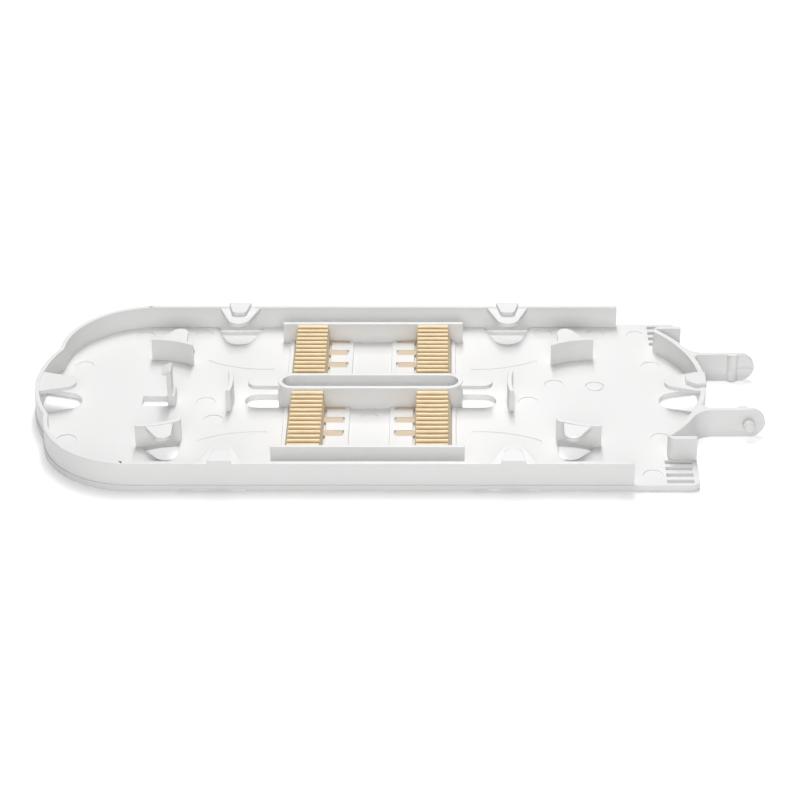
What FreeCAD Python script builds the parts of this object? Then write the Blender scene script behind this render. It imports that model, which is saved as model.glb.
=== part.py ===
import FreeCAD, Part
import math
import operator
import os

import Sketcher

# Fibre splice tray: one moulded tray with four soft splice combs pressed into its two bays.
# The model is drawn about the middle of the bays, with Z = 0 on the floor's upper face, and is
# then placed so that its frame lies under the middle of the whole tray, on the table.

# Driving dimensions in millimetres, angles in degrees.
SIZES = {
    # Outline
    "width": 107.6,
    "lip": 0.3,
    "wall": 1.6,
    "wall_height": 8.0,
    "side_reach": 85.9,
    "plate_corner": 2.6,
    "corner_centre": 76.0,
    "corner_radius": 31.7,
    "end_reach": 113.1,
    "floor": 2.0,
    "skirt": 2.3,
    "foot_rise": 0.9,
    "foot_gap_left": 60.8,
    "foot_gap_right": 33.8,
    "foot_gap_length": 22.3,
    # Right end: bowed wall, short walls and hinge arms
    "bow_radius": 52.0,
    "mouth": 72.4,
    "short_wall": 1.7,
    "short_wall_length": 8.9,
    "round_corner": 2.7,
    "arm_reach": 131.4,
    "arm_gap": 35.4,
    "arm_thick": 1.9,
    "arm_root": 8.0,
    "arm_inner_root": 2.0,
    "rib_place": 123.8,
    "rib_width": 3.8,
    "rib_radius": 2.1,
    "pin_place": 125.9,
    "pin_diameter": 4.0,
    "pin_length": 3.4,
    "pin_chamfer": 0.7,
    # Corner guides and small guides
    "loop_centre": 76.5,
    "bend_radius": 30.0,
    "guide_reach": 61.8,
    "guide_wall": 1.6,
    "small_guide_place": 48.4,
    "small_guide_span": 13.6,
    "small_guide_radius": 35.0,
    # Ring and bays
    "ring_length": 62.4,
    "ring_width": 10.3,
    "bay_length": 63.0,
    "bay_width": 35.6,
    "bay_wall": 1.5,
    "bay_drop": 0.6,
    # Tabs that keep the fibres down, and the holes under them
    "tab_drop": 0.3,
    "tab_thick": 1.4,
    "tab_length": 11.4,
    "tab_nose": 4.0,
    "tab_taper": 21.0,
    "end_tab_length": 12.1,
    "end_tab_taper": 17.0,
    "hole_clearance": 1.2,
    "end_hole_clearance": 1.5,
    "side_tab_place": 47.2,
    "tongue_reach": 41.2,
    "tongue_width": 6.2,
    "tongue_clearance": 1.3,
    "guide_tab_inner": 64.15,
    "guide_tab_nose": 2.9,
    "guide_tab_slope": 32.0,
    "guide_tab_length": 7.0,
    "guide_hole_inner": 62.3,
    "guide_hole_nose": 4.0,
    "guide_hole_slope": 40.0,
    "button_rise": 1.1,
    "button_base": 7.9,
    "button_tip": 5.2,
    "button_length": 7.4,
    "button_corner": 1.5,
    "lug_length": 6.9,
    "lug_flare": 2.9,
    "lug_width": 7.6,
    "lug_point": 3.3,
    # Splice plates and combs
    "plate_rise": 0.8,
    "plate_inner": 6.7,
    "plate_outer": 28.9,
    "comb_middle": 20.95,
    "comb_foot": 12.6,
    "comb_top": 10.4,
    "comb_height": 7.2,
    "comb_clearance": 0.1,
    "groove_count": 12,
    "groove_pitch": 2.8,
    "groove_width": 1.3,
    "groove_depth": 2.6,
    "groove_lip": 0.35,
    "groove_floor": 0.6,
    "finger_reach": 5.75,
    "finger_width": 3.4,
    "finger_pitch": 8.6,
    "finger_count": 3,
    "finger_thick": 0.7,
    "finger_gap": 0.55,
    # Hook beside the left loop
    "hook_place": 68.3,
    "hook_width": 6.4,
    "hook_stem": 1.5,
    "hook_under": 11.3,
    "hook_tip": 11.9,
    "hook_height": 13.3,
    "hook_reach": 1.6,
    "hook_flat": 0.6,
    "gusset_reach": 1.1,
    "gusset_height": 3.9,
    "hook_hole": 8.9,
    # Slots in the right-hand corners
    "slot_margin": 1.9,
    "slot_length": 8.65,
    "slot_width": 2.0,
    "slot_first": 39.5,
    "slot_pitch": 3.93,
    "slot_count": 4,
    # Shallow marks that the mould leaves on the floor
    "mark_depth": 0.2,
    "mark_diameter": 6.5,
    "dial_x": 76.3,
    "dial_y": 9.8,
    "dial_line": 0.6,
    "band_depth": 0.12,
    "band_x": 37.0,
    "band_y": 57.0,
    "band_radius": 35.2,
    "band_width": 1.7,
    "band_start": 34.0,
    "band_end": 57.0,
    "mark_1_x": -99.6,
    "mark_1_y": 23.9,
    "mark_2_x": -99.9,
    "mark_2_y": -25.2,
    "mark_3_x": -80.3,
    "mark_3_y": 45.4,
    "mark_4_x": -59.8,
    "mark_4_y": 45.9,
    "mark_5_x": -55.8,
    "mark_5_y": -0.7,
    "mark_6_x": -52.3,
    "mark_6_y": -12.4,
    "mark_7_x": -0.2,
    "mark_7_y": -11.3,
    "mark_8_x": 53.4,
    "mark_8_y": -0.5,
    "mark_9_x": 62.4,
    "mark_9_y": 11.0,
    "mark_10_x": 59.8,
    "mark_10_y": 47.2,
    "mark_11_x": 78.2,
    "mark_11_y": 46.5,
    "mark_12_x": 92.4,
    "mark_12_y": 45.7,
    "mark_13_x": 92.5,
    "mark_13_y": -47.4,
    "mark_14_x": 96.3,
    "mark_14_y": 23.6,
    "mark_15_x": 96.4,
    "mark_15_y": -24.5,
}

MARK_COUNT = 15


class Size:
    """A length or an angle: its number today, and the expression that keeps it up to date."""

    def __init__(self, number, text):
        self.number = number
        self.text = text

    def __add__(self, other):
        return worked_out(operator.add, "+", self, other)

    def __radd__(self, other):
        return worked_out(operator.add, "+", other, self)

    def __sub__(self, other):
        return worked_out(operator.sub, "-", self, other)

    def __rsub__(self, other):
        return worked_out(operator.sub, "-", other, self)

    def __mul__(self, other):
        return worked_out(operator.mul, "*", self, other)

    def __rmul__(self, other):
        return worked_out(operator.mul, "*", other, self)

    def __truediv__(self, other):
        return worked_out(operator.truediv, "/", self, other)

    def __neg__(self):
        return worked_out(operator.sub, "-", 0, self)


def as_size(value):
    if isinstance(value, Size):
        return value
    return Size(float(value), "(%r)" % float(value))


def worked_out(operation, sign, first, second):
    first, second = as_size(first), as_size(second)
    number = operation(first.number, second.number)
    return Size(number, "(%s %s %s)" % (first.text, sign, second.text))


def root(size):
    return Size(math.sqrt(size.number), "sqrt(%s)" % size.text)


def cosine(angle):
    return Size(math.cos(math.radians(angle.number)), "cos(%s)" % angle.text)


def sine(angle):
    return Size(math.sin(math.radians(angle.number)), "sin(%s)" % angle.text)


def third_side(long_side, short_side):
    """The other short side of a right-angled triangle."""
    return root(long_side * long_side - short_side * short_side)


class Sizes:
    """The driving dimensions, read back from the sheet by name."""

    def __init__(self, sheet):
        self.sheet = sheet

    def __getattr__(self, name):
        return Size(float(self.sheet.get(name)), "sizes." + name)

    def numbered(self, thing, number, axis):
        return getattr(self, "%s_%d_%s" % (thing, number, axis))


def make_sheet(doc):
    sheet = doc.addObject("Spreadsheet::Sheet", "sizes")
    for row, (name, value) in enumerate(SIZES.items(), start=1):
        sheet.set("A%d" % row, name)
        sheet.set("B%d" % row, str(value))
        sheet.setAlias("B%d" % row, name)
    doc.recompute()
    return sheet


def left(radius):
    """An edge that turns left round this radius."""
    return (as_size(radius), 1)


def right(radius):
    return (as_size(radius), -1)


def mirrored(corners, x_sign, y_sign):
    """The same outline on the other side of one or both axes."""
    flipped = []
    for corner in corners:
        x, y = corner[0] * x_sign, corner[1] * y_sign
        if len(corner) == 3:
            radius, turn = corner[2]
            flipped.append((x, y, (radius, turn * x_sign * y_sign)))
        else:
            flipped.append((x, y))
    return flipped


def on_four_sides(corners):
    return [mirrored(corners, x_sign, y_sign) for x_sign in (1, -1) for y_sign in (1, -1)]


def rectangle(x_low, x_high, y_low, y_high):
    return [(x_low, y_low), (x_high, y_low), (x_high, y_high), (x_low, y_high)]


class Drawing:
    """A sketch on one of its body's own planes, made of closed outlines."""

    def __init__(self, body, name, plane="XY_Plane", offset=0):
        self.sketch = body.newObject("Sketcher::SketchObject", name)
        for feature in body.Origin.OriginFeatures:
            if feature.Role == plane:
                self.sketch.AttachmentSupport = (feature, "")
        self.sketch.MapMode = "FlatFace"
        self.sketch.setExpression(".AttachmentOffset.Base.z", as_size(offset).text)

        self.constraints = []
        self.texts = []

    def hold(self, kind, size, *place):
        self.constraints.append(Sketcher.Constraint(kind, *place, size.number))
        self.texts.append(size.text)

    def join(self, *place):
        self.constraints.append(Sketcher.Constraint("Coincident", *place))
        self.texts.append(None)

    def outline(self, corners):
        """A closed outline through (x, y) corners; a third entry bends the edge after it."""
        count = len(corners)
        first_edge = self.sketch.GeometryCount
        places = [(as_size(corner[0]), as_size(corner[1])) for corner in corners]
        points = [FreeCAD.Vector(x.number, y.number, 0) for x, y in places]
        edges = []
        starts = []
        for index, corner in enumerate(corners):
            start = points[index]
            end = points[(index + 1) % count]
            if len(corner) == 3:
                edges.append(bent_edge(start, end, corner[2]))
                starts.append(1 if corner[2][1] > 0 else 2)
            else:
                edges.append(Part.LineSegment(start, end))
                starts.append(1)
        self.sketch.addGeometry(edges, False)
        for index, corner in enumerate(corners):
            edge = first_edge + index
            following = (index + 1) % count
            self.join(edge, 3 - starts[index], first_edge + following, starts[following])
            self.hold("DistanceX", places[index][0], -1, 1, edge, starts[index])
            self.hold("DistanceY", places[index][1], -1, 1, edge, starts[index])
            if len(corner) == 3:
                self.hold("Radius", corner[2][0], edge)

    def circle(self, x, y, radius):
        x, y, radius = as_size(x), as_size(y), as_size(radius)
        centre = FreeCAD.Vector(x.number, y.number, 0)
        edge = self.sketch.GeometryCount
        self.sketch.addGeometry(Part.Circle(centre, FreeCAD.Vector(0, 0, 1), radius.number), False)
        self.hold("DistanceX", x, -1, 1, edge, 3)
        self.hold("DistanceY", y, -1, 1, edge, 3)
        self.hold("Radius", radius, edge)

    def finish(self):
        """Adds every constraint at once, because the sketch solves itself after each addition."""
        first = self.sketch.ConstraintCount
        self.sketch.addConstraint(self.constraints)
        for index, text in enumerate(self.texts, start=first):
            if text is not None:
                self.sketch.setExpression("Constraints[%d]" % index, text)
        return self.sketch


def bent_edge(start, end, bend):
    """The arc from start to end, under half a turn, for a bend given by left() or right()."""
    radius, turn = bend
    chord = end - start
    middle = (start + end) * 0.5
    across = FreeCAD.Vector(-chord.y, chord.x, 0).normalize() * turn
    half = chord.Length / 2
    rise = math.sqrt(max(radius.number ** 2 - half ** 2, 0))
    summit = middle - across * (radius.number - rise)
    return Part.Arc(start, summit, end)


def bind(thing, **sizes):
    for name, size in sizes.items():
        thing.setExpression(name, as_size(size).text)


def pad(body, name, drawing, length, both_ways=False):
    feature = body.newObject("PartDesign::Pad", name)
    feature.Profile = drawing.finish()
    feature.Midplane = both_ways
    feature.Refine = False
    bind(feature, Length=length)
    drawing.sketch.Document.recompute()
    return feature


def pocket(body, name, drawing, depth=None, upwards=False, through_both=False):
    """Cuts against the sketch's normal, or along it, to a depth or right through."""
    feature = body.newObject("PartDesign::Pocket", name)
    feature.Profile = drawing.finish()
    feature.Reversed = upwards
    feature.Midplane = through_both
    feature.Refine = False
    if depth is None:
        feature.Type = "ThroughAll"
    else:
        bind(feature, Length=depth)
    drawing.sketch.Document.recompute()
    if feature.Shape.Volume >= feature.BaseFeature.Shape.Volume:
        raise RuntimeError(name + " cuts nothing")
    return feature


def spin(body, name, drawing, edge):
    """A solid of revolution about one straight edge of its own outline."""
    feature = body.newObject("PartDesign::Revolution", name)
    feature.Profile = drawing.finish()
    feature.ReferenceAxis = (drawing.sketch, ["Edge%d" % (edge + 1)])
    feature.Refine = False
    drawing.sketch.Document.recompute()
    return feature


class Tray:
    """Places on the tray that more than one feature needs."""

    def __init__(self, v):
        self.v = v
        self.half = v.width / 2
        self.wall_inset = v.lip + v.wall
        self.corner_y = self.half - v.corner_radius
        self.corner_reach = v.corner_centre + v.corner_radius
        bulge = v.end_reach - self.corner_reach
        self.bulge_radius = (self.corner_y * self.corner_y + bulge * bulge) / (2 * bulge)
        self.inner_side = self.half - self.wall_inset
        self.inner_end = v.end_reach - self.wall_inset
        self.bow_centre = v.end_reach - v.bow_radius
        self.bow_inner = v.bow_radius - self.wall_inset
        self.mouth_half = v.mouth / 2
        self.bow_end = self.bow_centre + third_side(v.bow_radius, self.mouth_half)
        self.edge = self.bow_end + v.short_wall_length
        self.short_outer = self.mouth_half + v.short_wall
        self.tab_top = v.wall_height - v.tab_drop
        self.tab_base = self.tab_top - v.tab_thick
        self.arm_inner = v.arm_gap / 2
        self.arm_outer = self.arm_inner + v.arm_thick
        self.ring_half = v.ring_width / 2
        self.bay_outer = self.ring_half + v.bay_width


def side_and_end(tray, inset, turn):
    """The left end from the back wall round to the front wall, set in from the skirt."""
    v = tray.v
    half = tray.half - inset
    reach = tray.corner_reach - inset
    radius = v.corner_radius - inset
    return [
        (-v.corner_centre, half, turn(radius)),
        (-reach, tray.corner_y, turn(tray.bulge_radius)),
        (-reach, -tray.corner_y, turn(radius)),
        (-v.corner_centre, -half),
    ]


def plan_outline(tray, inset, corner):
    """The floor's whole outline, with the open mouth between the short walls."""
    v = tray.v
    half = tray.half - inset
    edge = tray.edge - inset
    mouth = tray.mouth_half + inset
    bow = v.bow_radius - inset
    bow_end = tray.bow_centre + third_side(bow, mouth)
    return side_and_end(tray, inset, left) + [
        (edge - corner, -half, left(corner)),
        (edge, -half + corner),
        (edge, -mouth),
        (bow_end, -mouth, left(bow)),
        (bow_end, mouth),
        (edge, mouth),
        (edge, half - corner, left(corner)),
        (edge - corner, half),
    ]


def outer_wall(tray):
    """Band of the outer wall, open at the right."""
    v = tray.v
    outer_half = tray.half - v.lip
    outside = [(v.side_reach, outer_half)] + side_and_end(tray, v.lip, left)
    outside.append((v.side_reach, -outer_half))
    # The inner face runs the other way, from the front wall round to the back wall.
    inside = mirrored(side_and_end(tray, tray.wall_inset, left), 1, -1)
    return (outside + [(v.side_reach, -tray.inner_side)] + inside
            + [(v.side_reach, tray.inner_side)])


def end_wall(tray):
    """Bowed wall of the right end with the two short walls beside the mouth."""
    v = tray.v
    mouth = tray.mouth_half
    lead = tray.bow_inner + v.round_corner
    corner_y = tray.short_outer - v.round_corner
    corner_x = third_side(lead, corner_y)
    share = tray.bow_inner / lead
    touch = (tray.bow_centre + corner_x * share, corner_y * share)
    return [
        (tray.edge, -tray.short_outer),
        (tray.edge, -mouth),
        (tray.bow_end, -mouth, left(v.bow_radius)),
        (tray.bow_end, mouth),
        (tray.edge, mouth),
        (tray.edge, tray.short_outer),
        (tray.bow_centre + corner_x, tray.short_outer, left(v.round_corner)),
        (touch[0], touch[1], right(tray.bow_inner)),
        (touch[0], -touch[1], left(v.round_corner)),
        (tray.bow_centre + corner_x, -tray.short_outer),
    ]


def arm_root_start(tray):
    """A place inside the bowed wall where a hinge arm begins."""
    v = tray.v
    return tray.bow_centre + third_side(v.bow_radius, tray.arm_outer) - v.wall / 3


def arm_web(tray, radius, side):
    """Fillet in plan between the bowed wall and a hinge arm: side 1 is the arm's outer face."""
    v = tray.v
    face = tray.arm_inner if side < 0 else tray.arm_outer
    inside = face - v.arm_thick / 3 * side
    lead = v.bow_radius + radius
    centre_y = face + radius * side
    centre_x = third_side(lead, centre_y)
    share = v.bow_radius / lead
    bend = right(radius) if side > 0 else left(radius)
    return [
        (arm_root_start(tray), inside),
        (tray.bow_centre + centre_x, inside),
        (tray.bow_centre + centre_x, face, bend),
        (tray.bow_centre + centre_x * share, centre_y * share),
    ]


def arm_side(tray):
    """Side view of a hinge arm, with its round end."""
    v = tray.v
    radius = (v.wall_height + v.skirt) / 2
    middle = v.wall_height - radius
    start = arm_root_start(tray)
    return [
        (start, -v.skirt),
        (v.arm_reach - radius, -v.skirt, left(radius)),
        (v.arm_reach, middle, left(radius)),
        (v.arm_reach - radius, v.wall_height),
        (start, v.wall_height),
    ]


def corner_guide(tray):
    """Curved wall that keeps the fibre loop at its smallest bend."""
    v = tray.v
    inner = v.bend_radius - v.guide_wall
    along = v.loop_centre - v.guide_reach
    return [
        (v.loop_centre, inner),
        (v.loop_centre, v.bend_radius, left(v.bend_radius)),
        (v.guide_reach, third_side(v.bend_radius, along)),
        (v.guide_reach, third_side(inner, along), right(inner)),
    ]


def small_guide(tray):
    """Short wall that bows towards the bays."""
    v = tray.v
    half = v.small_guide_span / 2
    inner = v.small_guide_place - v.guide_wall
    return [
        (inner, half, left(v.small_guide_radius)),
        (inner, -half),
        (v.small_guide_place, -half, right(v.small_guide_radius)),
        (v.small_guide_place, half),
    ]


def stadium(length, width):
    """Long outline with round ends, each end as two quarter turns."""
    radius = width / 2
    straight = length / 2 - radius
    return [
        (-straight, -radius),
        (straight, -radius, left(radius)),
        (straight + radius, as_size(0), left(radius)),
        (straight, radius),
        (-straight, radius, left(radius)),
        (-straight - radius, as_size(0), left(radius)),
    ]


class Taper:
    """A tapered tab drawn along +Y from its wall; room makes it wider and longer all round."""

    def __init__(self, tray, length, angle, room):
        self.nose = tray.v.tab_nose + room
        self.centre = length - tray.v.tab_nose
        self.touch_x = self.nose * cosine(angle)
        self.touch_y = self.centre + self.nose * sine(angle)
        self.slope = sine(angle) / cosine(angle)
        self.foot = self.touch_x + self.touch_y * self.slope

    def outline(self, first_edge):
        """The outline, from the edge at its wall round the nose."""
        return first_edge + [
            (self.touch_x, self.touch_y, left(self.nose)),
            (as_size(0), self.centre + self.nose, left(self.nose)),
            (-self.touch_x, self.touch_y),
        ]

    def from_flat_wall(self, weld):
        """The outline carried back into a flat wall by the weld."""
        foot = self.foot + weld * self.slope
        return self.outline([(-foot, -weld), (foot, -weld)])

    def from_curved_wall(self, radius):
        """The outline up to the hollow face of a wall of this radius."""
        lead = radius + self.foot * self.slope
        scale = 1 + self.slope * self.slope
        depth = (lead - root(lead * lead - scale * self.foot * self.foot)) / scale
        foot = self.foot - depth * self.slope
        return self.outline([(-foot, depth, left(radius)), (foot, depth)])


def turned(corners, x_of, y_of, flips):
    """The outline with each corner moved by two functions of its old place."""
    moved = []
    for corner in corners:
        place = (x_of(corner[0], corner[1]), y_of(corner[0], corner[1]))
        if len(corner) == 3 and flips:
            radius, turn = corner[2]
            moved.append(place + ((radius, -turn),))
        elif len(corner) == 3:
            moved.append(place + (corner[2],))
        else:
            moved.append(place)
    return moved


def side_tabs(tray, room, weld):
    """Tabs on the two long walls, two on each."""
    v = tray.v
    outline = Taper(tray, v.tab_length, v.tab_taper, room).from_flat_wall(weld)
    at_back = turned(outline, lambda x, y: v.side_tab_place + x,
                     lambda x, y: tray.inner_side - y, True)
    return on_four_sides(at_back)


def at_right_end(tray, outline):
    return turned(outline, lambda x, y: tray.inner_end - y, lambda x, y: x, False)


def end_tabs(tray, weld):
    """Tabs at the middle of both ends."""
    v = tray.v
    outline = Taper(tray, v.end_tab_length, v.end_tab_taper, as_size(0)).from_flat_wall(weld)
    at_right = at_right_end(tray, outline)
    return [at_right, mirrored(at_right, -1, 1)]


def end_holes(tray):
    """Holes under the tabs at both ends, up to the inner faces of the end walls."""
    v = tray.v
    taper = Taper(tray, v.end_tab_length, v.end_tab_taper, v.end_hole_clearance)
    at_right = at_right_end(tray, taper.from_curved_wall(tray.bow_inner))
    at_left = at_right_end(tray, taper.from_curved_wall(tray.bulge_radius))
    return [at_right, mirrored(at_left, -1, 1)]


def guide_tab(tray, inner, nose, slope, room, face):
    """Hooked tab on a corner guide, or the hole under it, out from a circle round the loop."""
    v = tray.v
    tip = v.bend_radius + v.guide_tab_length + room
    centre_x, centre_y = inner + nose, tip - nose
    across, along = cosine(slope), sine(slope)
    lead = (centre_x - v.loop_centre) * across + centre_y * along + nose
    run = third_side(face, lead)
    return [
        (inner, third_side(face, v.loop_centre - inner)),
        (inner, centre_y, right(nose)),
        (centre_x, tip, right(nose)),
        (centre_x + nose * across, centre_y + nose * along),
        (v.loop_centre + lead * across - run * along, lead * along + run * across, right(face)),
    ]


def tongue(tray, room, start):
    """Straight tongue with a round end, at each end of the ring."""
    v = tray.v
    radius = v.tongue_width / 2 + room
    tip = v.tongue_reach + room
    return [
        (start, -radius),
        (tip - radius, -radius, left(radius)),
        (tip, as_size(0), left(radius)),
        (tip - radius, radius),
        (start, radius),
    ]


def all_tabs(tray):
    v = tray.v
    weld = v.wall / 2
    tabs = side_tabs(tray, as_size(0), weld) + end_tabs(tray, weld)
    middle = v.bend_radius - v.guide_wall / 2
    on_guide = guide_tab(tray, v.guide_tab_inner, v.guide_tab_nose, v.guide_tab_slope,
                         as_size(0), middle)
    tabs += on_four_sides(on_guide)
    at_right = tongue(tray, 0, v.ring_length / 2 - weld)
    return tabs + [at_right, mirrored(at_right, -1, 1)]


def holes_under_tabs(tray):
    """Through-holes that let the mould reach the underside of each tab."""
    v = tray.v
    holes = side_tabs(tray, v.hole_clearance, as_size(0)) + end_holes(tray)
    # The hole at the tongue stops at the ring's round end, which goes on through the floor.
    half = v.tongue_width / 2 + v.tongue_clearance
    start = v.ring_length / 2 - tray.ring_half + third_side(tray.ring_half, half)
    at_right = tongue(tray, v.tongue_clearance, start)
    x, y = at_right.pop()
    at_right.append((x, y, right(tray.ring_half)))
    return holes + [at_right, mirrored(at_right, -1, 1)]


def button(tray):
    """Raised spacer on a side tab and the wall behind it."""
    v = tray.v
    back = tray.half - v.lip
    tip = back - v.button_length
    corner = v.button_corner
    base, point = v.button_base / 2, v.button_tip / 2
    place = v.side_tab_place
    return [
        (place - base, back),
        (place - point, tip + corner, left(corner)),
        (place - point + corner, tip),
        (place + point - corner, tip, left(corner)),
        (place + point, tip + corner),
        (place + base, back),
    ]


def lug(tray):
    """Flared spacer on the right-hand tab, out to the face of the bowed wall."""
    v = tray.v
    half, point = v.lug_width / 2, v.lug_point / 2
    tip = v.end_reach - v.lug_length
    face = tray.bow_centre + third_side(v.bow_radius, half)
    return [
        (face, -half, left(v.bow_radius)),
        (face, half),
        (tip + v.lug_flare, half),
        (tip, point),
        (tip, -point),
        (tip + v.lug_flare, -half),
    ]


def hook_side(tray):
    """Side view of the snap hook: stem, barbed head and the foot behind it."""
    v = tray.v
    face = -v.hook_place
    back = face + v.hook_stem
    return [
        (face, as_size(0)),
        (back + v.gusset_reach, as_size(0)),
        (back + v.gusset_reach, v.gusset_height - v.gusset_reach, left(v.gusset_reach)),
        (back, v.gusset_height),
        (back, v.hook_height),
        (back - v.hook_flat, v.hook_height),
        (face - v.hook_reach, v.hook_tip),
        (face, v.hook_under),
    ]


def corner_slots(tray):
    """Slots for cable ties in the two right-hand corners."""
    v = tray.v
    high = tray.edge - v.slot_margin
    low = high - v.slot_length
    slots = []
    for index in range(int(v.slot_count.number)):
        middle = v.slot_first + v.slot_pitch * index
        slot = rectangle(low, high, middle - v.slot_width / 2, middle + v.slot_width / 2)
        slots += [slot, mirrored(slot, 1, -1)]
    return slots


def foot_gap(tray, start):
    """Long notch with sloping ends under the skirt, in side view."""
    v = tray.v
    end = start + v.foot_gap_length
    return [
        (start, -v.skirt),
        (end, -v.skirt),
        (end - v.foot_rise, v.foot_rise - v.skirt),
        (start + v.foot_rise, v.foot_rise - v.skirt),
    ]


def rib(tray):
    """Rounded rib down the inner face of a hinge arm."""
    v = tray.v
    half = v.rib_width / 2
    inside = tray.arm_inner + v.arm_thick / 2
    return [
        (v.rib_place - half, inside),
        (v.rib_place - half, tray.arm_inner, left(v.rib_radius)),
        (v.rib_place + half, tray.arm_inner),
        (v.rib_place + half, inside),
    ]


def splice_plates(tray, y_low, y_high):
    """Low plates of one bay, in front of and behind each comb's foot."""
    v = tray.v
    seat = v.comb_foot / 2 + v.comb_clearance
    foot = v.comb_middle - seat
    strip = v.comb_middle + seat
    plates = []
    for x_sign in (1, -1):
        plates.append(mirrored(rectangle(v.plate_inner, foot, y_low, y_high), x_sign, 1))
        plates.append(mirrored(rectangle(strip, v.plate_outer, y_low, y_high), x_sign, 1))
    return plates


def finger_spans(v, room):
    """Y ranges of a comb's fingers from its back end, the first one half hidden by the wall."""
    spans = []
    for index in range(int(v.finger_count.number)):
        middle = -v.finger_pitch * index
        back = as_size(0) if index == 0 else middle + v.finger_width / 2 + room
        spans.append((middle - v.finger_width / 2 - room, back))
    return spans


def finger_slots(tray, y_back):
    """Slots in the plates of one bay, open to each comb's foot."""
    v = tray.v
    foot = v.comb_middle - v.comb_foot / 2
    slots = []
    for low, high in finger_spans(v, v.comb_clearance):
        slot = rectangle(foot - v.finger_reach - v.finger_gap, foot, y_back + low, y_back + high)
        slots += [mirrored(slot, x_sign, 1) for x_sign in (1, -1)]
    return slots


def draw_all(drawing, outlines):
    for outline in outlines:
        drawing.outline(outline)
    return drawing


def shell_features(body, tray):
    """Floor and the skirt it stands on."""
    v = tray.v
    drawing = Drawing(body, "floor_outline", offset=-v.skirt)
    drawing.outline(plan_outline(tray, as_size(0), v.plate_corner))
    pad(body, "floor_and_skirt", drawing, v.skirt)

    drawing = Drawing(body, "underside", offset=-v.floor)
    drawing.outline(plan_outline(tray, tray.wall_inset, v.plate_corner / 2))
    pocket(body, "hollow_under_floor", drawing)


def right_end_features(body, tray):
    """Bowed wall, short walls and the two hinge arms."""
    v = tray.v
    drawing = Drawing(body, "end_wall_plan")
    drawing.outline(end_wall(tray))
    pad(body, "end_wall", drawing, v.wall_height)

    for name, y_start in (("back", tray.arm_outer), ("front", -tray.arm_inner)):
        drawing = Drawing(body, name + "_arm_side", "XZ_Plane", -y_start)
        drawing.outline(arm_side(tray))
        pad(body, name + "_arm", drawing, v.arm_thick)

    drawing = Drawing(body, "arm_webs_plan", offset=-v.skirt)
    webs = [arm_web(tray, v.arm_root, 1), arm_web(tray, v.arm_inner_root, -1), rib(tray)]
    for y_sign in (1, -1):
        draw_all(drawing, [mirrored(web, 1, y_sign) for web in webs])
    pad(body, "arm_webs_and_ribs", drawing, v.skirt + v.wall_height)

    pin_height = (v.wall_height - v.skirt) / 2
    pin_root = tray.arm_outer - v.arm_thick / 2
    tip = tray.arm_outer + v.pin_length
    for name, y_sign in (("back", 1), ("front", -1)):
        radius = v.pin_diameter / 2
        drawing = Drawing(body, name + "_pin_half", offset=pin_height)
        drawing.outline(mirrored([
            (v.pin_place, pin_root),
            (v.pin_place + radius, pin_root),
            (v.pin_place + radius, tip - v.pin_chamfer),
            (v.pin_place + radius - v.pin_chamfer, tip),
            (v.pin_place, tip),
        ], 1, y_sign))
        spin(body, name + "_pin", drawing, 4)


def wall_features(body, tray):
    """Outer wall, guides, ring and bay walls on the floor."""
    v = tray.v
    drawing = Drawing(body, "walls_plan")
    drawing.outline(outer_wall(tray))
    draw_all(drawing, on_four_sides(corner_guide(tray)))
    draw_all(drawing, [mirrored(small_guide(tray), x_sign, 1) for x_sign in (1, -1)])
    drawing.outline(stadium(v.ring_length, v.ring_width))
    drawing.outline(stadium(v.ring_length - 2 * v.wall, v.ring_width - 2 * v.wall))
    pad(body, "walls", drawing, v.wall_height)

    drawing = Drawing(body, "bay_walls_plan")
    half = v.bay_length / 2
    wall = rectangle(-half, half, tray.bay_outer, tray.bay_outer + v.bay_wall)
    draw_all(drawing, [mirrored(wall, 1, y_sign) for y_sign in (1, -1)])
    pad(body, "bay_walls", drawing, v.wall_height - v.bay_drop)


def tab_features(body, tray):
    """Tabs over the fibres, with the spacers and the lug on top of them."""
    v = tray.v
    drawing = Drawing(body, "tabs_plan", offset=tray.tab_base)
    draw_all(drawing, all_tabs(tray))
    pad(body, "tabs", drawing, v.tab_thick)

    drawing = Drawing(body, "buttons_plan", offset=tray.tab_top)
    draw_all(drawing, on_four_sides(button(tray)))
    drawing.outline(lug(tray))
    pad(body, "buttons", drawing, v.tab_drop + v.button_rise)


def splice_plate_features(body, tray):
    v = tray.v
    bays = ((tray.ring_half, tray.bay_outer), (-tray.bay_outer, -tray.ring_half))
    drawing = Drawing(body, "splice_plates_plan")
    for y_low, y_high in bays:
        draw_all(drawing, splice_plates(tray, y_low, y_high))
    pad(body, "splice_plates", drawing, v.plate_rise)

    drawing = Drawing(body, "finger_slots_plan")
    for y_low, y_high in bays:
        draw_all(drawing, finger_slots(tray, y_high))
    pocket(body, "finger_slots", drawing, v.plate_rise, upwards=True)


def floor_hole_features(body, tray):
    """Everything cut through the floor, and the notches under the skirt."""
    v = tray.v
    drawing = Drawing(body, "holes_plan")
    draw_all(drawing, holes_under_tabs(tray))
    half = v.hook_width / 2
    drawing.outline(rectangle(-v.hook_place - v.hook_hole, -v.hook_place, -half, half))
    draw_all(drawing, corner_slots(tray))
    at_guide = guide_tab(tray, v.guide_hole_inner, v.guide_hole_nose, v.guide_hole_slope,
                         v.hole_clearance, v.bend_radius)
    draw_all(drawing, on_four_sides(at_guide))
    pocket(body, "holes_in_floor", drawing)

    for name, y_start, inwards in (("back", tray.half, False), ("front", -tray.half, True)):
        drawing = Drawing(body, name + "_foot_gaps", "XZ_Plane", -y_start)
        drawing.outline(foot_gap(tray, -v.foot_gap_left))
        drawing.outline(foot_gap(tray, v.foot_gap_right))
        pocket(body, name + "_feet", drawing, tray.wall_inset, upwards=not inwards)


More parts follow.
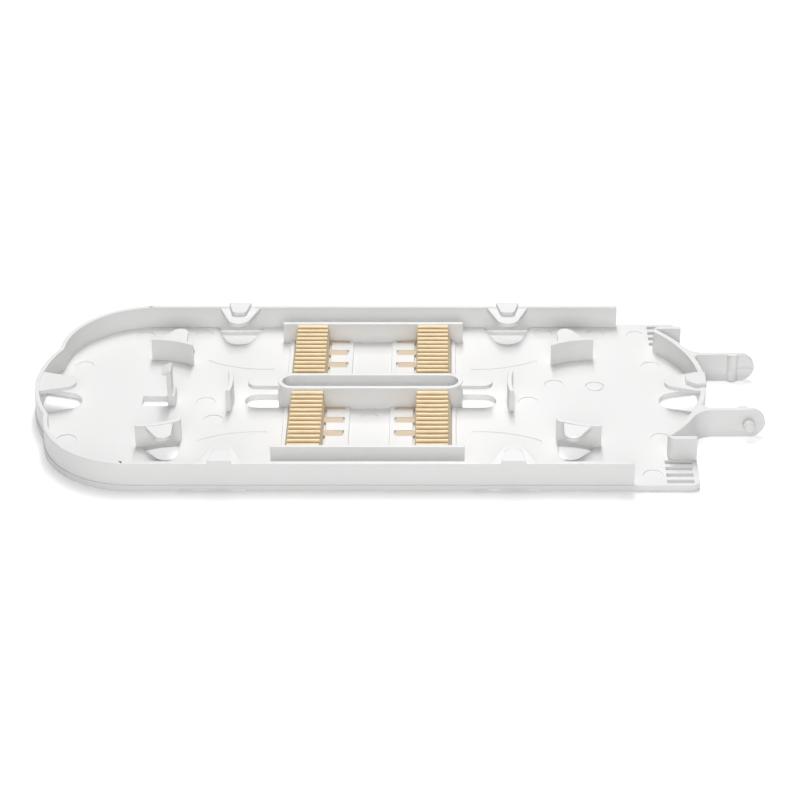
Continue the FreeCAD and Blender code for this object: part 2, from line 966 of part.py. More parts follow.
def band(tray):
    """Curved band between a bay and the loop, as wide as a shallow groove for the fibres."""
    v = tray.v
    edges = []
    for x in (v.band_start, v.band_end):
        for radius in (v.band_radius + v.band_width, v.band_radius):
            edges.append((x, v.band_y - third_side(radius, x - v.band_x)))
    start_low, start_high, end_low, end_high = edges
    return [
        start_low + (left(v.band_radius + v.band_width),),
        end_low,
        end_high + (right(v.band_radius),),
        start_high,
    ]


def mark_features(body, tray):
    """Shallow round marks, one plain ring and four curved bands on the floor."""
    v = tray.v
    drawing = Drawing(body, "marks_plan")
    radius = v.mark_diameter / 2
    for number in range(1, MARK_COUNT + 1):
        drawing.circle(v.numbered("mark", number, "x"), v.numbered("mark", number, "y"), radius)
    drawing.circle(v.dial_x, v.dial_y, radius)
    drawing.circle(v.dial_x, v.dial_y, radius - v.dial_line)
    pocket(body, "marks", drawing, v.mark_depth)

    drawing = Drawing(body, "bands_plan")
    draw_all(drawing, on_four_sides(band(tray)))
    pocket(body, "bands", drawing, v.band_depth)


def hook_features(body, tray):
    v = tray.v
    drawing = Drawing(body, "hook_side", "XZ_Plane")
    drawing.outline(hook_side(tray))
    pad(body, "hook", drawing, v.hook_width, both_ways=True)


def make_tray(doc, v):
    tray = Tray(v)
    body = doc.addObject("PartDesign::Body", "tray")
    body.Label = "tray"
    # The floor is cut before anything stands on it, which also keeps each step quick.
    shell_features(body, tray)
    mark_features(body, tray)
    floor_hole_features(body, tray)
    wall_features(body, tray)
    right_end_features(body, tray)
    tab_features(body, tray)
    splice_plate_features(body, tray)
    hook_features(body, tray)
    # Only the last feature merges the faces that lie in one plane, which saves building time.
    body.Tip.Refine = True
    set_place(body, tray, as_size(0), as_size(0))
    return body


def set_place(body, tray, x, y):
    """Puts a body drawn about the splice centre into the part's own frame."""
    v = tray.v
    shift = (v.end_reach - v.arm_reach) / 2
    body.setExpression(".Placement.Base.x", (x + shift).text)
    body.setExpression(".Placement.Base.y", as_size(y).text)
    body.setExpression(".Placement.Base.z", v.skirt.text)


def make_comb(doc, v, name, hand, y_back):
    """One soft comb: hand is 1 where its fingers point along +X, and -1 where along -X.

    It is drawn from its middle along X and from its back end along -Y.
    """
    tray = Tray(v)
    body = doc.addObject("PartDesign::Body", name)
    body.Label = name
    length = v.bay_width - 2 * v.comb_clearance
    foot, top = v.comb_foot / 2, v.comb_top / 2

    drawing = Drawing(body, name + "_section", "XZ_Plane")
    drawing.outline([
        (-foot, as_size(0)),
        (foot, as_size(0)),
        (foot, v.plate_rise),
        (top, v.comb_height),
        (-top, v.comb_height),
        (-foot, v.plate_rise),
    ])
    pad(body, name + "_block", drawing, length)

    drawing = Drawing(body, name + "_fingers_plan")
    for low, high in finger_spans(v, as_size(0)):
        finger = rectangle(top, foot + v.finger_reach, low, high)
        drawing.outline(mirrored(finger, hand, 1))
    pad(body, name + "_fingers", drawing, v.finger_thick)

    grooves_length = v.groove_pitch * (v.groove_count - 1)
    drawing = Drawing(body, name + "_groove_section", "YZ_Plane")
    drawing.outline(groove(v, (grooves_length - length) / 2))
    cut = pocket(body, name + "_groove", drawing, through_both=True)
    pattern = body.newObject("PartDesign::LinearPattern", name + "_grooves")
    pattern.Originals = [cut]
    pattern.Direction = (drawing.sketch, ["H_Axis"])
    pattern.Reversed = True
    bind(pattern, Length=grooves_length, Occurrences=v.groove_count)
    body.Tip = pattern
    set_place(body, tray, -v.comb_middle * hand, y_back - v.comb_clearance)
    return body


def groove(v, middle):
    """Section of a fibre groove: bevelled lips, and sides that close in towards the bottom."""
    top = v.comb_height
    lip = v.groove_lip
    half, floor = v.groove_width / 2, v.groove_floor / 2
    bottom = top - v.groove_depth
    return [
        (middle - half - lip, top),
        (middle - half, top - lip),
        (middle - floor, bottom),
        (middle + floor, bottom),
        (middle + half, top - lip),
        (middle + half + lip, top),
    ]


def write_parts(doc, bodies):
    for thing in doc.Objects:
        if "Invalid" in thing.State or "Error" in thing.State:
            raise RuntimeError("%s failed: %s" % (thing.Name, thing.State))
    os.makedirs("parts", exist_ok=True)
    for body in bodies:
        shape = body.Shape
        if shape.isNull() or not shape.isValid():
            raise RuntimeError(body.Label + " has no valid shape")
        shape.exportStep("parts/%s.step" % body.Label)
        print(body.Label, len(shape.Solids), "solid", round(shape.Volume), "mm3", shape.BoundBox)


def main():
    doc = FreeCAD.newDocument("splice_tray")
    v = Sizes(make_sheet(doc))
    tray = Tray(v)
    bodies = [make_tray(doc, v)]
    for row, y_back in (("back", tray.bay_outer), ("front", -tray.ring_half)):
        for side, hand in (("left", 1), ("right", -1)):
            bodies.append(make_comb(doc, v, "splice_comb_%s_%s" % (row, side), hand, y_back))
    doc.recompute()
    write_parts(doc, bodies)


main()
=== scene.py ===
import math
import random

import bmesh
import bpy
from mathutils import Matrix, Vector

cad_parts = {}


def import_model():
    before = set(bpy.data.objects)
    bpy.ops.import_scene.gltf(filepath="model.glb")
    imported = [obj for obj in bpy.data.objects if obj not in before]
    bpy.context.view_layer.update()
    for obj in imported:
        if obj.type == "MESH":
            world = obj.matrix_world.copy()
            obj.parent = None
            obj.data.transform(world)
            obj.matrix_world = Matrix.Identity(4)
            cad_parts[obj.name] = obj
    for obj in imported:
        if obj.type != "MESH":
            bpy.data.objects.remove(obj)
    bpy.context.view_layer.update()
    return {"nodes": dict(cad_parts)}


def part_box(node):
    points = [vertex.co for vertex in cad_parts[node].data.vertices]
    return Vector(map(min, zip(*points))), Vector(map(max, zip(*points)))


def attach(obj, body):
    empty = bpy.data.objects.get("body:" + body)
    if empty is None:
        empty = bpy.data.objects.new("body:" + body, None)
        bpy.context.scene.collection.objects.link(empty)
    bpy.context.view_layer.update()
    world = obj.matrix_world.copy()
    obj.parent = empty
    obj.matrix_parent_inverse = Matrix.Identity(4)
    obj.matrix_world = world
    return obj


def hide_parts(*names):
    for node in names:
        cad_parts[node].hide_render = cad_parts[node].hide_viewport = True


# Fibre splice tray: the moulded tray keeps its solid and gets edges and a finish, and each soft
# comb is modelled in full in the place of its solid. Lengths are in millimetres unless named.

MM = 0.001

# The photograph's view, solved from its straight and round edges.
CAMERA_PLACE = (15.89, -784.58, 461.16)
CAMERA_DOWN = 30.3
FOCAL_PIXELS = 2684.7
IMAGE_PIXELS = 800
AXIS_PIXEL = 444.6
SENSOR_MM = 36.0

# Each lamp's name, place, width and depth in metres, and watts. All face the tray's middle.
TRAY_MIDDLE = (0, 0, 0)
LAMPS = (("top_lamp", (0.0, 0.42, 1.2), 0.7, 0.7, 8.6),
         ("back_lamp", (0.0, 0.8, 1.1), 0.12, 0.8, 6.8),
         ("front_lamp", (0.0, -1.3, 0.6), 0.8, 0.8, 9.9))
# The world's strength on the object. The camera sees it as 1, which is white.
WORLD_GREY = 0.08

# Colours are linear.
TRAY_WHITE = (0.82, 0.82, 0.815)
COMB_CREST = (0.96, 0.81, 0.55)
# The next two colours are painted shade: the comb's tan darkened in its grooves and low down at its
# foot and fingers.
COMB_GROOVE_PAINTED_SHADE = (0.66, 0.48, 0.25)
COMB_FOOT_PAINTED_SHADE = (0.64, 0.52, 0.37)
FLOOR_WHITE = 0.95

# The glow that the camera sees on the floor, and how much more of it there is under the tray, which
# is painted light that lifts the tray's shadow there.
FLOOR_GLOW = 0.2
GLOW_UNDER_TRAY = 0.25
# The area under the tray and its arms: half of its inner box, how far round it, and its middle.
UNDER_TRAY = (82.0, 14.0)
UNDER_ROUND = 36.0
UNDER_MIDDLE = 12.0
# Distances in metres between which the floor's glow rises to white, and how far the floor goes.
FAR_FLOOR = (0.25, 0.8)
FLOOR_REACH = 3.0

# The tray's plastic. Noise scales are per metre, and scatter and grain depths are in metres.
TRAY_IOR = 1.53
TRAY_SUBSURFACE = 0.03
TRAY_SCATTER = (1.0, 0.9, 0.8)
TRAY_SCATTER_DEPTH = 0.0012
TRAY_CLOUDS = 28.0
TRAY_CLOUD_SHADE = 0.985
TRAY_CLOUD_SPAN = (0.3, 0.7)
TRAY_GLOSS_NOISE = 90.0
TRAY_ROUGHNESS = (0.33, 0.37)
TRAY_GRAIN = 4200.0
TRAY_GRAIN_DEPTH = 0.00002
TRAY_GRAIN_STRENGTH = 0.3

# The combs' soft material, in the same units. Its colour goes by the share of the comb's height,
# with painted shade: the tan darkens from the crests down into the grooves and to the foot and
# fingers.
COMB_IOR = 1.48
COMB_SUBSURFACE = 0.2
COMB_SCATTER = (1.0, 0.6, 0.3)
COMB_SCATTER_DEPTH = 0.0008
COMB_SHEEN = 0.15
COMB_SHEEN_ROUGHNESS = 0.5
COMB_CLOUDS = 160.0
COMB_CLOUD_SHIFT = 0.05
COMB_GLOSS_NOISE = 300.0
COMB_ROUGHNESS = (0.42, 0.6)
COMB_GRAIN = 3000.0
COMB_GRAIN_DEPTH = 0.00003
COMB_GRAIN_STRENGTH = 0.4
COMB_PAINTED_SHADE_LEVELS = ((0.15, COMB_FOOT_PAINTED_SHADE), (0.3, COMB_GROOVE_PAINTED_SHADE), (0.88, COMB_GROOVE_PAINTED_SHADE), (1.0, COMB_CREST))

# How wide the tray's sharp edges are rounded, at most, and the share of the shortest edge at a
# corner that the rounding there may take.
EDGE_ROUND = 0.22
EDGE_SPARE = 0.25
ROUND_SEGMENTS = 2
SHARP_DEGREES = 40
WELD_METRES = 0.000002
# The share of it that edges get at the floor's shallow marks, between these heights and short of
# FLOOR_END in X, and in inner corners.
SMALL_SHARE = 0.05
MARKS_LOW = 2.05
MARKS_HIGH = 2.33
FLOOR_END = 108.0
# The radius over which the material softens the shading of edges.
EDGE_SHADE = 0.25
EDGE_SAMPLES = 6

# The mould's parting line, a faint band at half height along the arms, in the bump only.
SEAM_HEIGHT = 5.15
SEAM_HALF = 0.25
SEAM_START = 113.5
SEAM_DEPTH = 0.3

# The combs, as they sit in their solids' seats.
COMB_NODES = ("splice_comb_back_left", "splice_comb_back_right",
              "splice_comb_front_left", "splice_comb_front_right")
FOOT_HALF = 6.3
FOOT_INNER = 5.75
FOOT_HEIGHT = 0.8
TOP_HALF = 5.25
COMB_HEIGHT = 7.2
SIDE_LEVELS = (0.0, FOOT_HEIGHT, 2.4, 3.9)
COLUMNS = 14
GROOVES = 12
PITCH = 2.8
COMB_ROUND = 0.12
COMB_SHARP_DEGREES = 50
# How far the ridges bow along the comb, at random.
BOW_RANGE = (-0.1, 0.05)
BOW_SEED = 12

# Half of one ridge, from its crest out to the middle of the groove, as (along, down).
RIDGE = ((0.0, 0.0), (0.3, 0.03), (0.52, 0.14), (0.68, 0.36), (0.78, 0.8), (0.84, 1.4),
         (0.93, 1.95), (1.08, 2.33), (1.25, 2.53), (1.4, 2.6))
# The comb's end in the same terms, how far from it the ridges' own points start, and the least
# distance between two points.
COMB_END = ((0.0, 0.35), (0.12, 0.1), (0.35, 0.0))
END_CLEAR = 0.4
LEAST_STEP = 0.001

# The fingers: FINGER_ROOT is how far inside the comb's top edge each one starts, FINGER_LIFT its
# underside's height, and FINGER_BACK the gap between the first one's back and the comb's end.
FINGERS = 3
FINGER_WIDTH = 3.4
FINGER_PITCH = 8.6
FINGER_THICK = 0.8
FINGER_ROOT = 0.5
FINGER_LIFT = 0.02
FINGER_BACK = 0.02
FINGER_ROUND = 0.1
FINGER_SEGMENTS = 3


def millimetres(point):
    return tuple(value * MM for value in point)


def add_camera():
    data = bpy.data.cameras.new("camera")
    data.sensor_width = SENSOR_MM
    data.lens = FOCAL_PIXELS / IMAGE_PIXELS * SENSOR_MM
    data.shift_x = -(AXIS_PIXEL - IMAGE_PIXELS / 2) / IMAGE_PIXELS
    camera = bpy.data.objects.new("camera", data)
    camera.location = millimetres(CAMERA_PLACE)
    camera.rotation_euler = (math.radians(90 - CAMERA_DOWN), 0, 0)
    bpy.context.scene.collection.objects.link(camera)
    bpy.context.scene.camera = camera


def area_lamp(name, place, width, depth, watts):
    """A lamp of width by depth at place, in metres, that faces the tray's middle."""
    data = bpy.data.lights.new(name, "AREA")
    data.shape = "RECTANGLE"
    data.size = width
    data.size_y = depth
    data.energy = watts
    lamp = bpy.data.objects.new(name, data)
    lamp.location = place
    direction = [t - p for t, p in zip(TRAY_MIDDLE, place)]
    length = math.sqrt(sum(value * value for value in direction))
    pitch = math.acos(-direction[2] / length)
    heading = math.atan2(-direction[0], direction[1])
    lamp.rotation_euler = (pitch, 0, heading)
    bpy.context.scene.collection.objects.link(lamp)


class Nodes:
    """Short calls for one node tree."""

    def __init__(self, tree):
        self.tree = tree
        tree.nodes.clear()

    def add(self, kind, **settings):
        node = self.tree.nodes.new(kind)
        for name, value in settings.items():
            setattr(node, name, value)
        return node

    def link(self, source, target):
        self.tree.links.new(source, target)

    def math(self, operation, first, second=None):
        node = self.add("ShaderNodeMath", operation=operation)
        for socket, value in zip(node.inputs, (first, second)):
            if value is None:
                continue
            if isinstance(value, (int, float)):
                socket.default_value = value
            else:
                self.link(value, socket)
        return node.outputs[0]

    def noise(self, place, scale, detail, roughness=0.5):
        node = self.add("ShaderNodeTexNoise")
        node.inputs["Scale"].default_value = scale
        node.inputs["Detail"].default_value = detail
        node.inputs["Roughness"].default_value = roughness
        self.link(place, node.inputs["Vector"])
        return node.outputs["Fac"]

    def ramp(self, value, stops):
        node = self.add("ShaderNodeValToRGB")
        while len(node.color_ramp.elements) < len(stops):
            node.color_ramp.elements.new(0.5)
        for element, (position, colour) in zip(node.color_ramp.elements, stops):
            element.position = position
            element.color = colour + (1.0,)
        self.link(value, node.inputs["Fac"])
        return node.outputs["Color"]

    def span(self, value, low, high):
        """The value, from 0 to 1, spread between low and high."""
        node = self.add("ShaderNodeMapRange")
        node.inputs["To Min"].default_value = low
        node.inputs["To Max"].default_value = high
        self.link(value, node.inputs["Value"])
        return node.outputs["Result"]

    def bump(self, height, depth, strength, below=None):
        node = self.add("ShaderNodeBump")
        node.inputs["Strength"].default_value = strength
        node.inputs["Distance"].default_value = depth
        self.link(height, node.inputs["Height"])
        if below is not None:
            self.link(below, node.inputs["Normal"])
        return node.outputs["Normal"]


def shade(colour, factor):
    return tuple(value * factor for value in colour)


def tray_material():
    """Satin white moulded plastic with a fine spark-eroded texture."""
    material = bpy.data.materials.new("tray_plastic")
    material.use_nodes = True
    nodes = Nodes(material.node_tree)
    place = nodes.add("ShaderNodeTexCoord").outputs["Object"]
    shader = nodes.add("ShaderNodeBsdfPrincipled")
    shader.inputs["IOR"].default_value = TRAY_IOR
    shader.inputs["Subsurface Weight"].default_value = TRAY_SUBSURFACE
    shader.inputs["Subsurface Radius"].default_value = TRAY_SCATTER
    shader.inputs["Subsurface Scale"].default_value = TRAY_SCATTER_DEPTH
    cloudy = nodes.noise(place, TRAY_CLOUDS, detail=3.0)
    shades = (shade(TRAY_WHITE, TRAY_CLOUD_SHADE), TRAY_WHITE)
    tint = nodes.ramp(cloudy, list(zip(TRAY_CLOUD_SPAN, shades)))
    nodes.link(tint, shader.inputs["Base Color"])
    gloss = nodes.noise(place, TRAY_GLOSS_NOISE, detail=4.0)
    nodes.link(nodes.span(gloss, *TRAY_ROUGHNESS), shader.inputs["Roughness"])
    fine = nodes.noise(place, TRAY_GRAIN, detail=2.0, roughness=0.6)
    rounded = nodes.add("ShaderNodeBevel", samples=EDGE_SAMPLES)
    rounded.inputs["Radius"].default_value = EDGE_SHADE * MM
    grain = nodes.bump(fine, TRAY_GRAIN_DEPTH, TRAY_GRAIN_STRENGTH, rounded.outputs[0])
    split = nodes.add("ShaderNodeSeparateXYZ")
    nodes.link(place, split.inputs[0])
    off = nodes.math("ABSOLUTE", nodes.math("SUBTRACT", split.outputs["Z"], SEAM_HEIGHT * MM))
    seam = nodes.math("LESS_THAN", off, SEAM_HALF * MM)
    on_arms = nodes.math("GREATER_THAN", split.outputs["X"], SEAM_START * MM)
    line = nodes.math("MULTIPLY", seam, on_arms)
    seamed = nodes.bump(line, SEAM_DEPTH * MM, strength=1.0, below=grain)
    nodes.link(seamed, shader.inputs["Normal"])
    output = nodes.add("ShaderNodeOutputMaterial")
    nodes.link(shader.outputs[0], output.inputs["Surface"])
    return material


def comb_material():
    """Soft tan elastomer with a faint bloom and fine grain, and painted shade that darkens it from
    the crests down into the grooves and to the foot and fingers.
    """
    material = bpy.data.materials.new("comb_rubber")
    material.use_nodes = True
    nodes = Nodes(material.node_tree)
    place = nodes.add("ShaderNodeTexCoord").outputs["Object"]
    shader = nodes.add("ShaderNodeBsdfPrincipled")
    shader.inputs["IOR"].default_value = COMB_IOR
    shader.inputs["Subsurface Weight"].default_value = COMB_SUBSURFACE
    shader.inputs["Subsurface Radius"].default_value = COMB_SCATTER
    shader.inputs["Subsurface Scale"].default_value = COMB_SCATTER_DEPTH
    shader.inputs["Sheen Weight"].default_value = COMB_SHEEN
    shader.inputs["Sheen Roughness"].default_value = COMB_SHEEN_ROUGHNESS
    split = nodes.add("ShaderNodeSeparateXYZ")
    nodes.link(place, split.inputs[0])
    clouds = nodes.noise(place, COMB_CLOUDS, detail=4.0)
    cloudy = nodes.span(clouds, -COMB_CLOUD_SHIFT, COMB_CLOUD_SHIFT)
    # Colour by height is painted shade: darker in the grooves and low down than at the crests.
    level = nodes.math("DIVIDE", split.outputs["Z"], COMB_HEIGHT * MM)
    tint = nodes.ramp(nodes.math("ADD", level, cloudy), COMB_PAINTED_SHADE_LEVELS)
    nodes.link(tint, shader.inputs["Base Color"])
    gloss = nodes.noise(place, COMB_GLOSS_NOISE, detail=3.0)
    nodes.link(nodes.span(gloss, *COMB_ROUGHNESS), shader.inputs["Roughness"])
    fine = nodes.noise(place, COMB_GRAIN, detail=3.0, roughness=0.6)
    grain = nodes.bump(fine, COMB_GRAIN_DEPTH, COMB_GRAIN_STRENGTH)
    nodes.link(grain, shader.inputs["Normal"])
    output = nodes.add("ShaderNodeOutputMaterial")
    nodes.link(shader.outputs[0], output.inputs["Surface"])
    return material


def seen_directly(nodes):
    """1 for rays from the camera, mirrors and clear things, else 0."""
    path = nodes.add("ShaderNodeLightPath")
    camera_or_gloss = nodes.math("MAXIMUM", path.outputs["Is Camera Ray"],
                                 path.outputs["Is Glossy Ray"])
    return nodes.math("MAXIMUM", camera_or_gloss, path.outputs["Is Transmission Ray"])


def floor_material():
    """Pale floor that keeps the object's shadow and glows to white far from it, with painted light
    under the tray and its arms that lifts that shadow there.
    """
    material = bpy.data.materials.new("studio_floor")
    material.use_nodes = True
    nodes = Nodes(material.node_tree)
    diffuse = nodes.add("ShaderNodeBsdfDiffuse")
    diffuse.inputs["Color"].default_value = (FLOOR_WHITE, FLOOR_WHITE, FLOOR_WHITE, 1.0)
    place = nodes.add("ShaderNodeTexCoord").outputs["Object"]
    split = nodes.add("ShaderNodeSeparateXYZ")
    nodes.link(place, split.inputs[0])
    aside = nodes.math("SUBTRACT", split.outputs["X"], UNDER_MIDDLE * MM)
    squares = []
    for off, half in zip((aside, split.outputs["Y"]), UNDER_TRAY):
        beyond = nodes.math("SUBTRACT", nodes.math("ABSOLUTE", off), half * MM)
        squares.append(nodes.math("POWER", nodes.math("MAXIMUM", beyond, 0.0), 2.0))
    distance = nodes.math("SQRT", nodes.math("ADD", *squares))
    inside = nodes.math("LESS_THAN", distance, UNDER_ROUND * MM)
    reach = nodes.add("ShaderNodeVectorMath", operation="LENGTH")
    nodes.link(place, reach.inputs[0])
    far = nodes.add("ShaderNodeMapRange", interpolation_type="SMOOTHSTEP")
    far.inputs["From Min"].default_value = FAR_FLOOR[0]
    far.inputs["From Max"].default_value = FAR_FLOOR[1]
    far.inputs["To Max"].default_value = 1 - FLOOR_GLOW
    nodes.link(reach.outputs["Value"], far.inputs["Value"])
    # Painted light: more glow under the tray and its arms, which lifts the tray's shadow there.
    near = nodes.math("ADD", FLOOR_GLOW, nodes.math("MULTIPLY", inside, GLOW_UNDER_TRAY))
    strength = nodes.math("ADD", near, far.outputs["Result"])
    glow = nodes.add("ShaderNodeEmission")
    nodes.link(nodes.math("MULTIPLY", seen_directly(nodes), strength), glow.inputs["Strength"])
    both = nodes.add("ShaderNodeAddShader")
    nodes.link(diffuse.outputs[0], both.inputs[0])
    nodes.link(glow.outputs[0], both.inputs[1])
    output = nodes.add("ShaderNodeOutputMaterial")
    nodes.link(both.outputs[0], output.inputs["Surface"])
    return material


def make_world():
    """Even grey light all round, which the camera sees as white."""
    world = bpy.data.worlds.new("studio")
    bpy.context.scene.world = world
    world.use_nodes = True
    nodes = Nodes(world.node_tree)
    white = nodes.math("MULTIPLY", seen_directly(nodes), 1 - WORLD_GREY)
    strength = nodes.math("ADD", WORLD_GREY, white)
    background = nodes.add("ShaderNodeBackground")
    nodes.link(strength, background.inputs["Strength"])
    output = nodes.add("ShaderNodeOutputWorld")
    nodes.link(background.outputs[0], output.inputs["Surface"])


def make_stage():
    mesh = bpy.data.meshes.new("floor")
    reach = FLOOR_REACH
    corners = [(-reach, -reach, 0), (reach, -reach, 0), (reach, reach, 0), (-reach, reach, 0)]
    mesh.from_pydata(corners, [], [(0, 1, 2, 3)])
    floor = bpy.data.objects.new("floor", mesh)
    floor.data.materials.append(floor_material())
    bpy.context.scene.collection.objects.link(floor)
    for lamp in LAMPS:
        area_lamp(*lamp)


def shortest_neighbours(nodes):
    """For an edge's two ends, the part of the full rounding that the shortest edge there allows."""
    ends = nodes.add("GeometryNodeInputMeshEdgeVertices")
    apart = nodes.add("ShaderNodeVectorMath", operation="DISTANCE")
    nodes.link(ends.outputs["Position 1"], apart.inputs[0])
    nodes.link(ends.outputs["Position 2"], apart.inputs[1])
    length = apart.outputs["Value"]
    shortest = nodes.add("GeometryNodeEdgesOfVertex")
    nodes.link(length, shortest.inputs["Weights"])
    at_edge = nodes.add("GeometryNodeFieldAtIndex", domain="EDGE", data_type="FLOAT")
    nodes.link(length, at_edge.inputs["Value"])
    nodes.link(shortest.outputs["Edge Index"], at_edge.inputs["Index"])
    allowed = nodes.math("DIVIDE", at_edge.outputs[0], EDGE_ROUND * MM / EDGE_SPARE)
    shares = []
    for name in ("Vertex Index 1", "Vertex Index 2"):
        at_point = nodes.add("GeometryNodeFieldAtIndex", domain="POINT", data_type="FLOAT")
        nodes.link(allowed, at_point.inputs["Value"])
        nodes.link(ends.outputs[name], at_point.inputs["Index"])
        shares.append(at_point.outputs[0])
    return shares


def edge_weights():
    """Geometry nodes that say what share of the full rounding each edge gets."""
    group = bpy.data.node_groups.new("edge_weights", "GeometryNodeTree")
    group.interface.new_socket("Geometry", in_out="INPUT", socket_type="NodeSocketGeometry")
    group.interface.new_socket("Geometry", in_out="OUTPUT", socket_type="NodeSocketGeometry")
    nodes = Nodes(group)
    angles = nodes.add("GeometryNodeInputMeshEdgeAngle")
    inner = nodes.math("LESS_THAN", angles.outputs["Signed Angle"], 0.0)
    ends = nodes.add("GeometryNodeInputMeshEdgeVertices")
    at_floor = []
    for name in ("Position 1", "Position 2"):
        split = nodes.add("ShaderNodeSeparateXYZ")
        nodes.link(ends.outputs[name], split.inputs[0])
        above = nodes.math("GREATER_THAN", split.outputs["Z"], MARKS_LOW * MM)
        below = nodes.math("LESS_THAN", split.outputs["Z"], MARKS_HIGH * MM)
        level = nodes.math("MULTIPLY", above, below)
        inside = nodes.math("LESS_THAN", split.outputs["X"], FLOOR_END * MM)
        at_floor.append(nodes.math("MULTIPLY", level, inside))
    small = nodes.math("MAXIMUM", nodes.math("MAXIMUM", *at_floor), inner)
    share = nodes.math("SUBTRACT", 1.0, nodes.math("MULTIPLY", small, 1 - SMALL_SHARE))
    angle = angles.outputs["Unsigned Angle"]
    sharp = nodes.math("GREATER_THAN", angle, math.radians(SHARP_DEGREES))
    for allowed in shortest_neighbours(nodes):
        share = nodes.math("MINIMUM", share, allowed)
    store = nodes.add("GeometryNodeStoreNamedAttribute", domain="EDGE", data_type="FLOAT")
    store.inputs["Name"].default_value = "bevel_weight_edge"
    nodes.link(nodes.math("MULTIPLY", sharp, share), store.inputs["Value"])
    nodes.link(nodes.add("NodeGroupInput").outputs[0], store.inputs["Geometry"])
    nodes.link(store.outputs[0], nodes.add("NodeGroupOutput").inputs[0])
    return group


def dress_tray(tray, material):
    """Rounds the moulded edges and gives the tray its plastic."""
    tray.data.materials.clear()
    tray.data.materials.append(material)
    weld = tray.modifiers.new("weld", "WELD")
    weld.merge_threshold = WELD_METRES
    weights = tray.modifiers.new("edge_weights", "NODES")
    weights.node_group = edge_weights()
    bevel = tray.modifiers.new("soft_edges", "BEVEL")
    bevel.width = EDGE_ROUND * MM
    bevel.segments = ROUND_SEGMENTS
    bevel.limit_method = "WEIGHT"
    bevel.face_strength_mode = "FSTR_ALL"
    bevel.use_clamp_overlap = False
    normals = tray.modifiers.new("flat_normals", "WEIGHTED_NORMAL")
    normals.mode = "FACE_AREA"
    normals.use_face_influence = True
    tray.data.shade_smooth()


def ridge_line(length):
    """Heights along a comb from its back end: (distance, height below the crests)."""
    first = (length - PITCH * (GROOVES - 1)) / 2
    line = list(COMB_END)
    for index in range(GROOVES):
        middle = first + PITCH * index
        line += [(middle - PITCH / 2 + along, down) for along, down in RIDGE
                 if middle - PITCH / 2 + along > END_CLEAR]
        line += [(middle + PITCH / 2 - along, down) for along, down in reversed(RIDGE[:-1])
                 if middle + PITCH / 2 - along < length - END_CLEAR]
    line += [(length - along, down) for along, down in reversed(COMB_END)]
    clean = [line[0]]
    for point in line[1:]:
        if point[0] > clean[-1][0] + LEAST_STEP:
            clean.append(point)
    return clean


def half_width(height, foot):
    """Half the comb's width at a height above the tray's floor, on a side of that foot."""
    if height <= FOOT_HEIGHT:
        return foot
    share = (height - FOOT_HEIGHT) / (COMB_HEIGHT - FOOT_HEIGHT)
    return foot + (TOP_HALF - foot) * share


def comb_mesh(length, hand, bow):
    """The comb's body as one closed mesh, centred on its own middle, its back end at Y = 0."""
    mesh = bmesh.new()

    def point(across, height, along):
        half = half_width(height, FOOT_INNER if across * hand > 0 else FOOT_HALF)
        rise = max(0.0, (height - FOOT_HEIGHT) / (COMB_HEIGHT - FOOT_HEIGHT))
        shift = bow * (1 - across * across) * rise
        return (across * half * MM, (-along + shift) * MM, height * MM)

    rings = []
    for along, down in ridge_line(length):
        top = COMB_HEIGHT - down
        ring = []
        for level in SIDE_LEVELS:
            ring.append(mesh.verts.new(point(-1, min(level, top), along)))
        for column in range(COLUMNS + 1):
            across = -1 + 2 * column / COLUMNS
            ring.append(mesh.verts.new(point(across, top, along)))
        for level in reversed(SIDE_LEVELS):
            ring.append(mesh.verts.new(point(1, min(level, top), along)))
        rings.append(ring)
    for first, second in zip(rings, rings[1:]):
        count = len(first)
        for index in range(count):
            following = (index + 1) % count
            mesh.faces.new((first[index], first[following], second[following], second[index]))
    mesh.faces.new(rings[0])
    mesh.faces.new(list(reversed(rings[-1])))
    return mesh


def finger_mesh(across, along):
    """One flat finger with rounded edges, between pairs of distances."""
    mesh = bmesh.new()
    bmesh.ops.create_cube(mesh, size=1.0)
    limits = (across, along, (FINGER_LIFT, FINGER_THICK))
    for vertex in mesh.verts:
        vertex.co = [limit[value > 0] * MM for value, limit in zip(vertex.co, limits)]
    bmesh.ops.bevel(mesh, geom=mesh.edges[:], offset=FINGER_ROUND * MM, segments=FINGER_SEGMENTS,
                    affect="EDGES", profile=0.5)
    return mesh


def closed_mesh(name, mesh):
    """Turns a finished bmesh into a mesh with its faces outward."""
    bmesh.ops.recalc_face_normals(mesh, faces=mesh.faces)
    data = bpy.data.meshes.new(name)
    mesh.to_mesh(data)
    mesh.free()
    return data


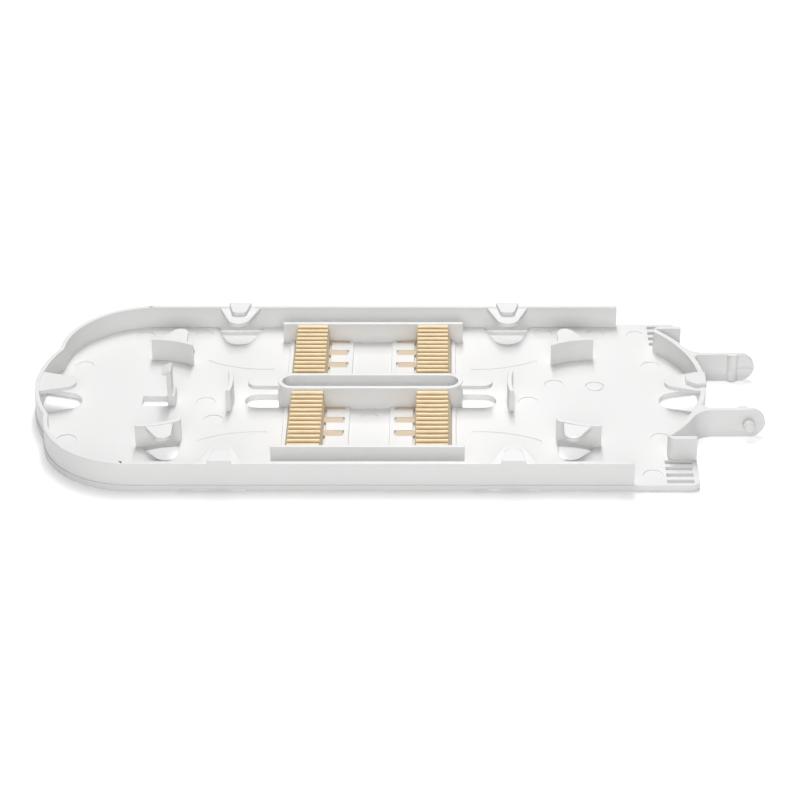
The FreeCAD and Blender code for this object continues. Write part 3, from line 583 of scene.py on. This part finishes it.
def joined(name, base, others):
    """The mesh of one body made from a base mesh and the meshes that grow out of it."""
    collection = bpy.context.scene.collection
    body = bpy.data.objects.new("joined", base)
    collection.objects.link(body)
    parts = []
    for index, mesh in enumerate(others):
        part = bpy.data.objects.new("part_%d" % index, mesh)
        collection.objects.link(part)
        parts.append(part)
        union = body.modifiers.new("union_%d" % index, "BOOLEAN")
        union.operation = "UNION"
        union.solver = "EXACT"
        union.object = part
    graph = bpy.context.evaluated_depsgraph_get()
    data = bpy.data.meshes.new_from_object(body.evaluated_get(graph))
    data.name = name
    for spent in [body] + parts:
        used = spent.data
        bpy.data.objects.remove(spent)
        bpy.data.meshes.remove(used)
    return data


def make_comb(node, material, random_source):
    """Builds one comb with its fingers where its solid is, and lets it stand for that solid."""
    low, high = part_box(node)
    length = (high.y - low.y) / MM
    hand = 1 if node.endswith("left") else -1
    outer = low.x if hand > 0 else high.x
    middle_x = outer + hand * FOOT_HALF * MM
    reach = abs((high.x if hand > 0 else low.x) - middle_x) / MM
    body = comb_mesh(length, hand, random_source.uniform(*BOW_RANGE))
    across = sorted((hand * (TOP_HALF - FINGER_ROOT), hand * reach))
    fingers = []
    for index in range(FINGERS):
        centre = -FINGER_PITCH * index
        back = -FINGER_BACK if index == 0 else centre + FINGER_WIDTH / 2
        finger = finger_mesh(across, (centre - FINGER_WIDTH / 2, back))
        fingers.append(closed_mesh("finger", finger))
    data = joined(node + "_shape", closed_mesh("comb_body", body), fingers)
    data.materials.append(material)
    data.shade_smooth()
    comb = bpy.data.objects.new(node + "_shape", data)
    comb.location = (middle_x, high.y, low.z)
    bpy.context.scene.collection.objects.link(comb)
    bevel = comb.modifiers.new("soft_edges", "BEVEL")
    bevel.width = COMB_ROUND * MM
    bevel.segments = ROUND_SEGMENTS
    bevel.angle_limit = math.radians(COMB_SHARP_DEGREES)
    normals = comb.modifiers.new("flat_normals", "WEIGHTED_NORMAL")
    normals.mode = "FACE_AREA"
    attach(comb, "root")
    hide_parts(node)


def main():
    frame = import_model()
    bpy.context.scene.view_settings.view_transform = "Standard"
    add_camera()
    make_world()
    make_stage()
    dress_tray(frame["nodes"]["tray"], tray_material())
    rubber = comb_material()
    random_source = random.Random(BOW_SEED)
    for node in COMB_NODES:
        make_comb(node, rubber, random_source)


main()
